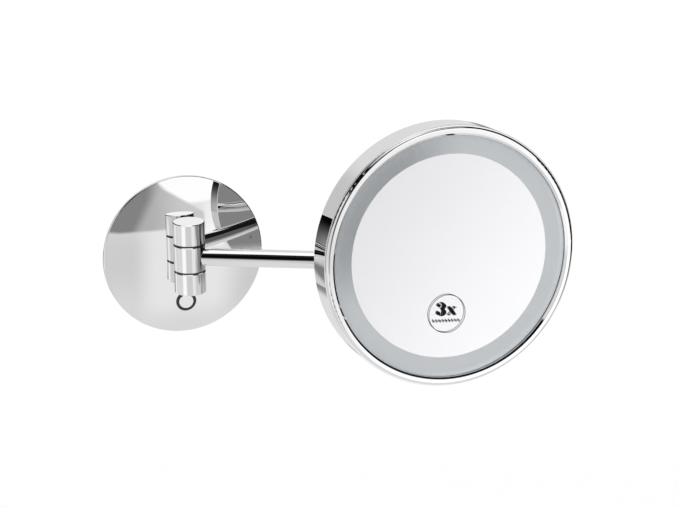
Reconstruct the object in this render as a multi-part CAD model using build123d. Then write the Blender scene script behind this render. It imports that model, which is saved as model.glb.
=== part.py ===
from build123d import *
import os
from math import asin, degrees, sqrt

# Wall-mounted shaving mirror on a swinging arm, in millimetres.
# The origin is the centre of the wall plate on the wall, +Z is up and -Y points out of the wall.

# Pose in which the mirror is built
ARM_ANGLE = 24.0            # arm's swing out of the wall's plane
HEAD_PITCH = 4.0            # mirror face tipped up from level

# Clearances
RUN_FIT = 0.04              # radial gap between a pin and what turns on it
RUN_GAP = 0.05              # gap between flat faces that slide on each other
SEAT_FIT = 0.1              # radial gap of a piece that is set into another
FILM_GAP = 0.05             # layer of lacquer or tape behind the glass

# Domed cover plate and the steel bracket under it
PLATE_D = 130.0
PLATE_RIM = 3.0
PLATE_ROUND = 0.8
DOME_RADIUS = 450.0
PLATE_SHEET = 1.2
PAD_MARGIN = 25.0           # from the rim in to the raised pad of the bracket
PAD_CLEAR = 0.7
WALL_HOLE_D = 5.0
WALL_HOLE_MARGIN = 8.0
WALL_HOLE_COUNT = 4
COUNTERSINK_DEPTH = 2.0
WIRE_HOLE_D = 10.0
GROMMET_WALL = 1.2
GROMMET_LIP = 0.8

# Barrel hinge in front of the plate
BARREL_D = 25.0
BARREL_GAP = 1.8
BARREL_HEIGHT = 4.5
ARM_KNUCKLE_H = 21.0
FIXED_KNUCKLE_H = 17.5
BARREL_EDGE = 0.5
WASHER_T = 1.0
WASHER_INSET = 0.5
PIN_D = 9.0
PIN_BORE_D = 5.0
PIN_DEPTH = 13.0            # how far the pin reaches into each fixed knuckle
BUSH_WALL = 1.5
BUSH_L = 8.0
SPIGOT_D = 12.0
PLUG_T = 2.5
PLUG_LEDGE = 2.0
SCREW_D = 4.0
SCREW_HEAD_D = 7.6
SCREW_TIP_GAP = 0.3

# Push button on the plate
BUTTON_D = 12.0
BUTTON_MARGIN = 26.6        # from the rim in to the middle of the button
BUTTON_PROUD = 0.9
BUTTON_TRAVEL = 1.0
BUTTON_LIP = 0.7
BUTTON_LIP_T = 0.6
BUTTON_EDGE = 0.3
RING_D = 16.5
RING_FLANGE = 0.7
RING_WALL = 0.7
POCKET_D = 22.0
POCKET_FLOOR = 0.9
BOARD_T = 0.8
SWITCH_W = 6.0
SWITCH_H = 1.0
SWITCH_KEY_D = 3.0
SWITCH_KEY_H = 0.3

# Arm
ARM_D = 14.0
ARM_WALL = 1.2
ARM_LENGTH = 189.0
SOCKET_DEPTH = 4.5
EYE_D = 18.0
EYE_H = 15.0
EYE_EDGE = 0.8
NECK_L = 2.0
ARM_SPIGOT_L = 12.0
CABLE_D = 5.0

# Swivel post at the end of the arm, and the tilt pin through it
POST_D = 8.0
POST_THREAD_D = 6.0
SWIVEL_HEIGHT = 15.5
BLOCK_D = 17.0
BLOCK_FLATS = 12.0
BLOCK_OVER = 7.0
NUT_D = 13.0
NUT_H = 6.5
NUT_CROWN = 1.5
TILT_PIN_D = 5.0
TILT_WASHER_T = 0.5

# Bracket on the back of the mirror head
EAR_T = 4.0
EAR_HALF = 5.0
BASE_W = 48.0
BASE_LOW = 8.0
BASE_HIGH = 16.0
BASE_T = 3.0
BASE_CORNER = 4.0
BASE_MARGIN = 6.0
PAN_HEAD_D = 7.0
PAN_HEAD_H = 2.2
RECESS_W = 1.0
RECESS_SHARE = 0.6          # cross recess, as a share of the screw head across
RECESS_DEPTH = 1.2
BOSS_D = 8.0
BOSS_H = 4.0
BACK_OFFSET = 19.5          # from the tilt pin to the back of the head

# Mirror head
HEAD_D = 202.0
HEAD_DEPTH = 28.3
SHELL_T = 1.5
SHELL_ROUND = 1.2
SHELL_EDGE = 0.4
BEZEL_W = 6.2
BEZEL_ROUND = 2.2
BEZEL_BEVEL_W = 1.45        # bevel round the opening
BEZEL_BEVEL_H = 1.2
BEZEL_BEVEL_ROUND = 0.35
BEZEL_STEP = 1.0            # bezel drawn in from the outside of the shell
BEZEL_SEAM = 0.8            # shell's front edge behind the bezel's rounding
BEZEL_REBATE = 0.6          # recess under the bezel for the gasket
GLASS_T = 2.0
GLASS_DEPTH = 4.0           # from the front of the bezel back to the glass
GASKET_SETBACK = 0.1
LIGHT_RING_W = 14.8
SILVER_T = 0.1
DIFFUSER_T = 2.2
CARRIER_T = 2.0
CARRIER_WALL = 1.8
CARRIER_DEPTH = 7.0
CARRIER_FLANGE_W = 14.0
LED_BOARD_T = 1.0
LED_BOARD_MARGIN = 3.5
LED_COUNT = 36
LED_W = 3.0
LED_H = 0.8
BACK_T = 2.0
BACK_INSET = 0.3
PILLAR_D = 8.0
PILLAR_MARGIN = 9.0
PILLAR_COUNT = 4
PILLAR_SCREW_D = 3.0
PILLAR_SCREW_HEAD_D = 5.6
PILLAR_SCREW_GRIP = 5.0
DRIVER_W = 50.0
DRIVER_L = 30.0
DRIVER_MARGIN = 1.5
DRIVER_BOARD_T = 1.6
STANDOFF_D = 5.0
STANDOFF_H = 2.0
CAPACITOR_D = 8.0
CAPACITOR_L = 14.0
COIL_W = 10.0
COIL_H = 5.0
TERMINAL_L = 12.0
TERMINAL_W = 6.0
HEAD_GROMMET_D = 9.0
HEAD_GROMMET_HEIGHT = 26.0

# Sizes that follow from the ones above
PLATE_R = PLATE_D / 2
PAD_R = PLATE_R - PAD_MARGIN
WALL_HOLE_R = PAD_R - WALL_HOLE_MARGIN
BUTTON_DROP = PLATE_R - BUTTON_MARGIN
BARREL_R = BARREL_D / 2
PIN_R = PIN_D / 2
BUSH_R = PIN_R + RUN_FIT + BUSH_WALL
ARM_R = ARM_D / 2
ARM_BORE_R = ARM_R - ARM_WALL
EYE_R = EYE_D / 2
HEAD_R = HEAD_D / 2
DOME_CENTRE = PLATE_RIM - sqrt(DOME_RADIUS ** 2 - PLATE_R ** 2)


def dome_height(radius):
    """Height of the plate's outer face above the wall, at a distance from the plate's axis."""
    return DOME_CENTRE + sqrt(DOME_RADIUS ** 2 - radius ** 2)


PAD_T = dome_height(PAD_R) - PLATE_SHEET - PAD_CLEAR
FLANGE_T = PLATE_RIM - PLATE_SHEET
BRACKET_R = PLATE_R - PLATE_SHEET - SEAT_FIT
BARREL_OUT = dome_height(0) + BARREL_GAP + BARREL_R
KNUCKLE_START = ARM_KNUCKLE_H / 2 + WASHER_T + RUN_GAP
KNUCKLE_END = KNUCKLE_START + FIXED_KNUCKLE_H
KNUCKLE_MID = (KNUCKLE_START + KNUCKLE_END) / 2
KNUCKLE_SIDES = (1, -1)
BUTTON_SLOPE = degrees(asin(BUTTON_DROP / DOME_RADIUS))
BUTTON_BORE_R = BUTTON_D / 2 + SEAT_FIT
RING_BORE_R = BUTTON_D / 2 + BUTTON_LIP + 2 * SEAT_FIT
RING_BODY_R = RING_BORE_R + RING_WALL
KEY_TOP = POCKET_FLOOR + BOARD_T + SWITCH_H + SWITCH_KEY_H
BUTTON_BASE = KEY_TOP + BUTTON_TRAVEL + SWITCH_KEY_H - dome_height(BUTTON_DROP)
TUBE_START = BARREL_R - SOCKET_DEPTH
TUBE_END = ARM_LENGTH - EYE_R - NECK_L
POST_BUSH_R = POST_D / 2 + RUN_FIT + BUSH_WALL
EYE_TOP = EYE_H / 2 + WASHER_T + RUN_GAP
EAR_START = BLOCK_FLATS / 2 + TILT_WASHER_T + 2 * RUN_GAP
EAR_END = EAR_START + EAR_T
BASE_FRONT = BACK_OFFSET + BACK_INSET
BASE_BACK = BASE_FRONT - BASE_T
BASE_SCREW_X = BASE_W / 2 - BASE_MARGIN
BASE_SCREW_YS = (BASE_MARGIN - BASE_LOW, BASE_HIGH - BASE_MARGIN)
SHELL_BORE_R = HEAD_R - SHELL_T
SHELL_FRONT = HEAD_DEPTH - BEZEL_ROUND - BEZEL_SEAM
BEZEL_R = HEAD_R - BEZEL_STEP
OPENING_R = BEZEL_R - BEZEL_W
MIRROR_R = OPENING_R - LIGHT_RING_W
INNER_R = SHELL_BORE_R - SEAT_FIT
GLASS_FRONT = HEAD_DEPTH - GLASS_DEPTH
BEZEL_BACK = SHELL_FRONT + BEZEL_REBATE
BEVEL_BACK = HEAD_DEPTH - BEZEL_BEVEL_H
GLASS_BACK = GLASS_FRONT - GLASS_T
FILM_BACK = GLASS_BACK - FILM_GAP
DIFFUSER_BACK = FILM_BACK - DIFFUSER_T
CARRIER_FLOOR = DIFFUSER_BACK - CARRIER_DEPTH
CARRIER_BACK = CARRIER_FLOOR - CARRIER_T
BAFFLE_R = MIRROR_R + SEAT_FIT
CARRIER_WINDOW_R = MIRROR_R - CARRIER_FLANGE_W
LED_OUTER_R = INNER_R - CARRIER_WALL - LED_BOARD_MARGIN
LED_INNER_R = BAFFLE_R + LED_BOARD_MARGIN
LED_RING_R = (LED_OUTER_R + LED_INNER_R) / 2
BACK_INNER = BACK_INSET + BACK_T
DRIVER_BACK = BACK_INNER + STANDOFF_H
DRIVER_FRONT = DRIVER_BACK + DRIVER_BOARD_T
DRIVER_UP = CARRIER_WINDOW_R - DRIVER_L / 2 - DRIVER_MARGIN

# Places of the sub-assemblies. On the wall and on the head, local z points out and y up.
WALL = Rot(90, 0, 0)
BUTTON = WALL * Pos(0, -BUTTON_DROP, dome_height(BUTTON_DROP)) * Rot(BUTTON_SLOPE, 0, 0)
BARREL = Pos(0, -BARREL_OUT, BARREL_HEIGHT)
ARM = BARREL * Rot(0, 0, -ARM_ANGLE)
SWIVEL = ARM * Pos(ARM_LENGTH, 0, 0) * Rot(0, 0, ARM_ANGLE)
TILT = SWIVEL * Pos(0, 0, SWIVEL_HEIGHT) * Rot(90 - HEAD_PITCH, 0, 0)
DRUM = TILT * Pos(0, 0, BACK_OFFSET)
ALONG_X = Rot(0, 90, 0)
OUT_OF_WALL = Rot(90, 0, 0)
FROM_BELOW = (Align.CENTER, Align.CENTER, Align.MIN)


def turned(*points):
    """Solid of revolution about local z, from (radius, height) points."""
    return revolve(Plane.XZ * make_face(Polyline(*points, close=True)), Axis.Z)


def rod(radius, start, end):
    """Round bar along local z."""
    return Pos(0, 0, start) * Cylinder(radius, end - start, align=FROM_BELOW)


def tube(outer, inner, start, end):
    """Round pipe along local z."""
    return rod(outer, start, end) - rod(inner, start, end)


def block(width, depth, start, end):
    """Rectangular bar along local z."""
    return Pos(0, 0, start) * Box(width, depth, end - start, align=FROM_BELOW)


def group(shapes):
    """Separate solids that share one name."""
    return Compound([solid for shape in shapes for solid in shape.solids()])


def countersunk(radius, head_radius, start, end):
    """Countersunk screw along local z, its flat head at the start."""
    cone = head_radius - radius
    return turned((0, start), (head_radius, start), (radius, start + cone), (radius, end), (0, end))


def cross_recess(head_radius, start):
    """Cross in a screw's head, cut from the start along local z."""
    length = 2 * head_radius * RECESS_SHARE
    end = start + RECESS_DEPTH
    return block(length, RECESS_W, start, end) + block(RECESS_W, length, start, end)


def grommet(hole_radius, start, end):
    """Rubber grommet in a plate between two heights, with a lip on each face."""
    bore = hole_radius - SEAT_FIT - GROMMET_WALL
    lip = hole_radius + GROMMET_LIP
    body = rod(hole_radius - SEAT_FIT, start, end)
    return body + rod(lip, end, end + GROMMET_LIP) - rod(bore, start, end + GROMMET_LIP)


def dome_body(inset):
    """Solid under the domed plate, drawn in by an inset on every outer face."""
    radius = PLATE_R - inset
    ball = DOME_RADIUS - inset
    edge = (radius, DOME_CENTRE + sqrt(ball ** 2 - radius ** 2))
    middle = (radius / 2, DOME_CENTRE + sqrt(ball ** 2 - radius ** 2 / 4))
    top = (0, DOME_CENTRE + ball)
    outline = Polyline(top, (0, -inset), (radius, -inset), edge) + ThreePointArc(edge, middle, top)
    return revolve(Plane.XZ * make_face(outline), Axis.Z)


def spigot_heights():
    return [BARREL_HEIGHT + side * KNUCKLE_MID for side in KNUCKLE_SIDES]


def cover_plate():
    outer = dome_body(0)
    rim_edge = outer.edges().filter_by(lambda edge: edge.is_closed).sort_by(Axis.Z)[-1]
    plate = fillet(rim_edge, PLATE_ROUND) - dome_body(PLATE_SHEET)
    for height in spigot_heights():
        plate -= Pos(0, height, 0) * rod(SPIGOT_D / 2 + SEAT_FIT, 0, BARREL_OUT)
    plate = WALL * plate
    return plate - BUTTON * rod(RING_BODY_R + SEAT_FIT, -PLATE_RIM, PLATE_RIM)


def wall_bracket():
    plate = rod(BRACKET_R, 0, FLANGE_T) + rod(PAD_R, 0, PAD_T)
    plate -= Pos(0, BARREL_HEIGHT, 0) * rod(WIRE_HOLE_D / 2, 0, PAD_T)
    holes = PolarLocations(WALL_HOLE_R, WALL_HOLE_COUNT, 180 / WALL_HOLE_COUNT)
    sink = WALL_HOLE_D / 2 + COUNTERSINK_DEPTH
    for place in holes:
        plate -= place * rod(WALL_HOLE_D / 2, 0, PAD_T)
        plate -= place * turned((0, PAD_T), (sink, PAD_T), (0, PAD_T - sink))
    for height in spigot_heights():
        hole = countersunk(SCREW_D / 2 + SEAT_FIT, SCREW_HEAD_D / 2 + SEAT_FIT, 0, PAD_T)
        plate -= Pos(0, height, 0) * hole
    plate -= Pos(0, -BUTTON_DROP, 0) * rod(POCKET_D / 2, POCKET_FLOOR, PAD_T)
    return WALL * plate


def wall_grommet():
    return WALL * Pos(0, BARREL_HEIGHT, 0) * grommet(WIRE_HOLE_D / 2, 0, PAD_T)


def fixed_knuckle(side):
    """Knuckle carried by the wall, above (side 1) or below (side -1) the arm's own."""
    body = rod(BARREL_R, KNUCKLE_START, KNUCKLE_END)
    body = chamfer(body.edges().filter_by(GeomType.CIRCLE), BARREL_EDGE)
    spigot_l = BARREL_OUT - PAD_T
    body += Pos(0, 0, KNUCKLE_MID) * OUT_OF_WALL * rod(SPIGOT_D / 2, -spigot_l, 0)
    body -= rod(PIN_R, KNUCKLE_START, KNUCKLE_START + PIN_DEPTH)
    screw_hole = rod(SCREW_D / 2 + RUN_GAP, -spigot_l, 0)
    body -= Pos(0, 0, KNUCKLE_MID) * OUT_OF_WALL * screw_hole
    if side < 0:
        ledge_r = PIN_R + PLUG_LEDGE
        body -= rod(PIN_R, KNUCKLE_START, KNUCKLE_END)
        body -= rod(ledge_r + SEAT_FIT, KNUCKLE_END - PLUG_T, KNUCKLE_END)
        body = mirror(body, Plane.XY)
    return BARREL * body


def knuckle_screws():
    tip = BARREL_OUT - PIN_R - SCREW_TIP_GAP
    screw = countersunk(SCREW_D / 2, SCREW_HEAD_D / 2, SEAT_FIT, tip)
    return group([WALL * Pos(0, height, 0) * screw for height in spigot_heights()])


def hinge_pin():
    reach = KNUCKLE_START + PIN_DEPTH
    return BARREL * tube(PIN_R, PIN_BORE_D / 2, -reach, reach)


def hinge_plug():
    return BARREL * rod(PIN_R + PLUG_LEDGE, -KNUCKLE_END, PLUG_T - KNUCKLE_END)


def hinge_washers():
    ring = tube(BARREL_R - WASHER_INSET, PIN_R + RUN_FIT, KNUCKLE_START - WASHER_T, KNUCKLE_START)
    return group([BARREL * ring, BARREL * mirror(ring, Plane.XY)])


def button_ring():
    ring = rod(RING_D / 2, 0, RING_FLANGE)
    ring = chamfer(ring.edges().group_by(Axis.Z)[-1], BUTTON_EDGE)
    ring += rod(RING_BODY_R, BUTTON_BASE - RUN_GAP, 0)
    ring -= rod(BUTTON_BORE_R, BUTTON_BASE - RUN_GAP, RING_FLANGE)
    ring -= rod(RING_BORE_R, BUTTON_BASE - RUN_GAP, BUTTON_BASE + BUTTON_LIP_T + RUN_GAP)
    return BUTTON * ring


def push_button():
    cap = rod(BUTTON_D / 2, BUTTON_BASE, BUTTON_PROUD)
    cap = chamfer(cap.edges().group_by(Axis.Z)[-1], BUTTON_EDGE)
    return BUTTON * (cap + rod(BUTTON_D / 2 + BUTTON_LIP, BUTTON_BASE, BUTTON_BASE + BUTTON_LIP_T))


def switch_board():
    disc = rod(POCKET_D / 2 - SEAT_FIT, POCKET_FLOOR, POCKET_FLOOR + BOARD_T)
    return WALL * Pos(0, -BUTTON_DROP, 0) * disc


def push_switch():
    base = POCKET_FLOOR + BOARD_T
    case = block(SWITCH_W, SWITCH_W, base, base + SWITCH_H)
    return WALL * Pos(0, -BUTTON_DROP, 0) * (case + rod(SWITCH_KEY_D / 2, base, KEY_TOP))


def arm_knuckle():
    half = ARM_KNUCKLE_H / 2
    body = rod(BARREL_R, -half, half)
    body = chamfer(body.edges().filter_by(GeomType.CIRCLE), BARREL_EDGE)
    body -= rod(BUSH_R, -half, half)
    body -= ALONG_X * rod(CABLE_D / 2 + SEAT_FIT, 0, BARREL_R)
    return ARM * (body - ALONG_X * rod(ARM_R, TUBE_START, BARREL_R))


def hinge_bushes():
    half = ARM_KNUCKLE_H / 2
    bush = tube(BUSH_R, PIN_R + RUN_FIT, half - BUSH_L, half)
    return group([ARM * bush, ARM * mirror(bush, Plane.XY)])


def arm_tube():
    return ARM * ALONG_X * tube(ARM_R, ARM_BORE_R, TUBE_START, TUBE_END)


def arm_end():
    half = EYE_H / 2
    eye = rod(EYE_R, -half, half)
    eye = Pos(ARM_LENGTH, 0, 0) * chamfer(eye.edges().filter_by(GeomType.CIRCLE), EYE_EDGE)
    body = eye + ALONG_X * rod(ARM_R, TUBE_END, ARM_LENGTH)
    body += ALONG_X * rod(ARM_BORE_R - RUN_GAP, TUBE_END - ARM_SPIGOT_L, TUBE_END)
    body -= ALONG_X * rod(CABLE_D / 2 + SEAT_FIT, TUBE_END - ARM_SPIGOT_L, ARM_LENGTH)
    return ARM * (body - Pos(ARM_LENGTH, 0, 0) * rod(POST_BUSH_R, -half, half))


def arm_cable():
    return ARM * ALONG_X * rod(CABLE_D / 2, BUSH_R + SEAT_FIT, TUBE_END)


def swivel_bushes():
    half = EYE_H / 2
    bush_l = (EYE_H - CABLE_D) / 2 - SEAT_FIT
    bush = tube(POST_BUSH_R, POST_D / 2 + RUN_FIT, half - bush_l, half)
    return group([SWIVEL * bush, SWIVEL * mirror(bush, Plane.XY)])


def swivel_washers():
    ring = tube(EYE_R - EYE_EDGE, POST_D / 2 + RUN_FIT, EYE_H / 2, EYE_H / 2 + WASHER_T)
    return group([SWIVEL * ring, SWIVEL * mirror(ring, Plane.XY)])


def swivel_post():
    top = SWIVEL_HEIGHT + BLOCK_OVER
    head = rod(BLOCK_D / 2, EYE_TOP, top)
    head = chamfer(head.edges().group_by(Axis.Z)[-1], EYE_EDGE)
    head = head & block(BLOCK_FLATS, BLOCK_D, EYE_TOP, top)
    head -= Pos(0, 0, SWIVEL_HEIGHT) * ALONG_X * rod(TILT_PIN_D / 2 + RUN_FIT, -BLOCK_D, BLOCK_D)
    post = rod(POST_D / 2, -EYE_TOP, EYE_TOP)
    thread = rod(POST_THREAD_D / 2, NUT_CROWN - EYE_TOP - NUT_H, -EYE_TOP)
    return SWIVEL * (head + post + thread)


def swivel_nut():
    low = -EYE_TOP - NUT_H
    crown_r = NUT_D / 2 - NUT_CROWN
    nut = turned((0, low), (crown_r, low), (NUT_D / 2, low + NUT_CROWN), (NUT_D / 2, -EYE_TOP), (0, -EYE_TOP))
    return SWIVEL * (nut - rod(POST_THREAD_D / 2 + RUN_GAP, low + NUT_CROWN - RUN_GAP, -EYE_TOP))


def tilt_washers():
    start = BLOCK_FLATS / 2 + RUN_GAP
    ring = ALONG_X * tube(EAR_HALF - EYE_EDGE, TILT_PIN_D / 2 + RUN_FIT, start, start + TILT_WASHER_T)
    return group([TILT * ring, TILT * mirror(ring, Plane.YZ)])


def tilt_pin():
    return TILT * ALONG_X * rod(TILT_PIN_D / 2, -EAR_END, EAR_END)


def head_bracket():
    middle = (BASE_HIGH - BASE_LOW) / 2
    outline = RectangleRounded(BASE_W, BASE_HIGH + BASE_LOW, BASE_CORNER)
    plate = Pos(0, middle, BASE_BACK) * extrude(outline, BASE_T)
    ear = ALONG_X * rod(EAR_HALF, EAR_START, EAR_END)
    ear += Pos((EAR_START + EAR_END) / 2, 0, 0) * block(EAR_T, 2 * EAR_HALF, 0, BASE_FRONT)
    ear -= ALONG_X * rod(TILT_PIN_D / 2, EAR_START, EAR_END)
    plate += [ear, mirror(ear, Plane.YZ)]
    for place in base_screw_places():
        plate -= place * rod(SCREW_D / 2 + SEAT_FIT, BASE_BACK, BASE_FRONT)
    return TILT * plate


def base_screw_places():
    return [Pos(x, y, 0) for x in (-BASE_SCREW_X, BASE_SCREW_X) for y in BASE_SCREW_YS]


def bracket_screws():
    tip = BACK_OFFSET + BACK_INNER + BOSS_H - RUN_GAP
    pan = rod(PAN_HEAD_D / 2, BASE_BACK - PAN_HEAD_H, BASE_BACK)
    pan = chamfer(pan.edges().group_by(Axis.Z)[0], EYE_EDGE)
    pan -= cross_recess(PAN_HEAD_D / 2, BASE_BACK - PAN_HEAD_H)
    screw = pan + rod(SCREW_D / 2, BASE_BACK, tip)
    return group([TILT * place * screw for place in base_screw_places()])


def head_shell():
    wall = rod(HEAD_R, 0, SHELL_FRONT)
    wall = fillet(wall.edges().group_by(Axis.Z)[0], SHELL_ROUND)
    wall = fillet(wall.edges().group_by(Axis.Z)[-1], SHELL_EDGE)
    return DRUM * (wall - rod(SHELL_BORE_R, 0, SHELL_FRONT))


def bezel_ring():
    rim = rod(BEZEL_R, SHELL_FRONT, HEAD_DEPTH)
    rim = fillet(rim.edges().group_by(Axis.Z)[-1], BEZEL_ROUND)
    rim -= rod(OPENING_R, SHELL_FRONT, HEAD_DEPTH)
    bevel_r = OPENING_R + BEZEL_BEVEL_W
    rim -= turned((0, BEVEL_BACK), (OPENING_R, BEVEL_BACK), (bevel_r, HEAD_DEPTH), (0, HEAD_DEPTH))
    rim = fillet(rim.edges().group_by(Axis.Z)[-1].sort_by(SortBy.LENGTH)[0], BEZEL_BEVEL_ROUND)
    return DRUM * (rim - rod(INNER_R, SHELL_FRONT, BEZEL_BACK))


def bezel_gasket():
    return DRUM * tube(INNER_R, OPENING_R + GASKET_SETBACK, GLASS_FRONT, BEZEL_BACK)


def mirror_glass():
    return DRUM * rod(INNER_R, GLASS_BACK, GLASS_FRONT)


def mirror_silvering():
    return DRUM * rod(MIRROR_R, FILM_BACK - SILVER_T, FILM_BACK)


def light_diffuser():
    return DRUM * tube(INNER_R, BAFFLE_R, DIFFUSER_BACK, FILM_BACK)


def pillar_places():
    return PolarLocations(MIRROR_R - PILLAR_MARGIN, PILLAR_COUNT, 180 / PILLAR_COUNT)


def mirror_carrier():
    floor = tube(INNER_R, CARRIER_WINDOW_R, CARRIER_BACK, CARRIER_FLOOR)
    outer_wall = tube(INNER_R, INNER_R - CARRIER_WALL, CARRIER_FLOOR, DIFFUSER_BACK)
    baffle = tube(MIRROR_R, MIRROR_R - CARRIER_WALL, CARRIER_FLOOR, FILM_BACK - SILVER_T)
    carrier = floor + outer_wall + baffle
    for place in pillar_places():
        carrier += place * rod(PILLAR_D / 2, BACK_INNER, CARRIER_BACK)
        carrier -= place * rod(PILLAR_SCREW_D / 2 + RUN_GAP, BACK_INNER, CARRIER_FLOOR)
    return DRUM * carrier


def led_board():
    return DRUM * tube(LED_OUTER_R, LED_INNER_R, CARRIER_FLOOR, CARRIER_FLOOR + LED_BOARD_T)


def led_chips():
    base = CARRIER_FLOOR + LED_BOARD_T
    chip = block(LED_W, LED_W, base, base + LED_H)
    return group([DRUM * place * chip for place in PolarLocations(LED_RING_R, LED_COUNT)])


def standoff_places():
    half_w = (DRIVER_W - STANDOFF_D) / 2
    half_l = (DRIVER_L - STANDOFF_D) / 2
    return [Pos(x, DRIVER_UP + y, 0) for x in (-half_w, half_w) for y in (-half_l, half_l)]


def back_cover():
    disc = rod(INNER_R, BACK_INSET, BACK_INNER)
    for place in base_screw_places():
        disc += place * rod(BOSS_D / 2, BACK_INNER, BACK_INNER + BOSS_H)
        disc -= place * rod(SCREW_D / 2 + RUN_GAP, BACK_INSET, BACK_INNER + BOSS_H)
    for place in standoff_places():
        disc += place * rod(STANDOFF_D / 2, BACK_INNER, DRIVER_BACK)
    screw_r = PILLAR_SCREW_D / 2 + SEAT_FIT
    hole = countersunk(screw_r, PILLAR_SCREW_HEAD_D / 2 + SEAT_FIT, BACK_INSET, BACK_INNER)
    for place in pillar_places():
        disc -= place * hole
    return DRUM * (disc - Pos(0, HEAD_GROMMET_HEIGHT, 0) * rod(HEAD_GROMMET_D / 2, BACK_INSET, BACK_INNER))


def back_screws():
    tip = BACK_INNER + PILLAR_SCREW_GRIP
    screw = countersunk(PILLAR_SCREW_D / 2, PILLAR_SCREW_HEAD_D / 2, BACK_INSET, tip)
    screw -= cross_recess(PILLAR_SCREW_HEAD_D / 2, BACK_INSET)
    return group([DRUM * place * screw for place in pillar_places()])


def head_grommet():
    ring = mirror(grommet(HEAD_GROMMET_D / 2, -BACK_INNER, -BACK_INSET), Plane.XY)
    return DRUM * Pos(0, HEAD_GROMMET_HEIGHT, 0) * ring


def driver_board():
    return DRUM * Pos(0, DRIVER_UP, 0) * block(DRIVER_W, DRIVER_L, DRIVER_BACK, DRIVER_FRONT)


def driver_parts():
    quarter = DRIVER_W / 4
    capacitor = Pos(-quarter, 0, DRIVER_FRONT + CAPACITOR_D / 2) * Rot(90, 0, 0)
    capacitor *= Cylinder(CAPACITOR_D / 2, CAPACITOR_L)
    coil = block(COIL_W, COIL_W, DRIVER_FRONT, DRIVER_FRONT + COIL_H)
    terminal = Pos(quarter, 0, 0) * block(TERMINAL_W, TERMINAL_L, DRIVER_FRONT, DRIVER_FRONT + COIL_H)
    return group([DRUM * Pos(0, DRIVER_UP, 0) * shape for shape in (capacitor, coil, terminal)])


PARTS = {
    "wall_bracket": wall_bracket(),
    "wall_grommet": wall_grommet(),
    "cover_plate": cover_plate(),
    "upper_knuckle": fixed_knuckle(1),
    "lower_knuckle": fixed_knuckle(-1),
    "knuckle_screws": knuckle_screws(),
    "hinge_pin": hinge_pin(),
    "hinge_plug": hinge_plug(),
    "hinge_washers": hinge_washers(),
    "button_ring": button_ring(),
    "push_button": push_button(),
    "switch_board": switch_board(),
    "push_switch": push_switch(),
    "arm_knuckle": arm_knuckle(),
    "hinge_bushes": hinge_bushes(),
    "arm_tube": arm_tube(),
    "arm_end": arm_end(),
    "arm_cable": arm_cable(),
    "swivel_bushes": swivel_bushes(),
    "swivel_washers": swivel_washers(),
    "swivel_post": swivel_post(),
    "swivel_nut": swivel_nut(),
    "tilt_washers": tilt_washers(),
    "tilt_pin": tilt_pin(),
    "head_bracket": head_bracket(),
    "bracket_screws": bracket_screws(),
    "head_shell": head_shell(),
    "bezel_ring": bezel_ring(),
    "bezel_gasket": bezel_gasket(),
    "mirror_glass": mirror_glass(),
    "mirror_silvering": mirror_silvering(),
    "light_diffuser": light_diffuser(),
    "mirror_carrier": mirror_carrier(),
    "led_board": led_board(),
    "led_chips": led_chips(),
    "back_cover": back_cover(),
    "back_screws": back_screws(),
    "head_grommet": head_grommet(),
    "driver_board": driver_board(),
    "driver_parts": driver_parts(),
}

os.makedirs("parts", exist_ok=True)
for name, shape in PARTS.items():
    export_step(shape, f"parts/{name}.step")
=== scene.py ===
"""Looks, stage and camera for a wall-mounted shaving mirror on a swinging arm.

Everything is in metres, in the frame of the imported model: +Z is up and -Y points out of the wall.
"""

from collections import namedtuple
from math import cos, degrees, radians, sin

import bmesh
import bpy
from bpy.props import FloatProperty, FloatVectorProperty, IntProperty, PointerProperty
from bpy.types import Operator, Panel, PropertyGroup
from mathutils import Matrix, Quaternion, Vector


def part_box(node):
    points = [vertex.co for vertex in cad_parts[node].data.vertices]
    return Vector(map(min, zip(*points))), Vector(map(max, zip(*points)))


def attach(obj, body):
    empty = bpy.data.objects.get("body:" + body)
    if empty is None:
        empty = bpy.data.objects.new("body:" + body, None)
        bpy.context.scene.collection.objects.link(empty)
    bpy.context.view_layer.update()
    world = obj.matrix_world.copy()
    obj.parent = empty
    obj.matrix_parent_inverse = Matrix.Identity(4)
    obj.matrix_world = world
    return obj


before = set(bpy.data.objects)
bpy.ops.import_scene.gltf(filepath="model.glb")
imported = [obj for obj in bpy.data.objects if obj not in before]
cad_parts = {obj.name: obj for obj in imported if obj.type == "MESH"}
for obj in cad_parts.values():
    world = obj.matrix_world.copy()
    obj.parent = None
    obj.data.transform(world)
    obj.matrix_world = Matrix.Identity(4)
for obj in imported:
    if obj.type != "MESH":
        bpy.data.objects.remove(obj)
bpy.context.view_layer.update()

bl_info = {
    "name": "Shaving mirror looks",
    "version": (1, 0, 0),
    "blender": (4, 5, 0),
    "location": "View3D > Sidebar > Shaving mirror",
    "description": "Finishes, magnification mark, stage and camera of a wall-mounted shaving mirror",
    "category": "Object",
}

IMAGE_WIDTH = 676
SENSOR_WIDTH = 36.0
MILLIMETRE = 0.001
WHITE = (1.0, 1.0, 1.0, 1.0)
BLACK = (0.0, 0.0, 0.0, 1.0)

HEAD_BODY = "head"
HEAD_PITCH = radians(4.0)
GLASS_LOW, GLASS_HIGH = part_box("mirror_glass")
GLASS_CENTRE = (GLASS_LOW + GLASS_HIGH) / 2
GLASS_RADIUS = (GLASS_HIGH.x - GLASS_LOW.x) / 2
GLASS_SPAN_Y = GLASS_HIGH.y - GLASS_LOW.y
GLASS_THICKNESS = (GLASS_SPAN_Y - 2 * GLASS_RADIUS * sin(HEAD_PITCH)) / cos(HEAD_PITCH)
FACE_NORMAL = Vector((0, -cos(HEAD_PITCH), sin(HEAD_PITCH)))
FACE_UP = Vector((0, sin(HEAD_PITCH), cos(HEAD_PITCH)))
FACE_RIGHT = Vector((1, 0, 0))

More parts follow.
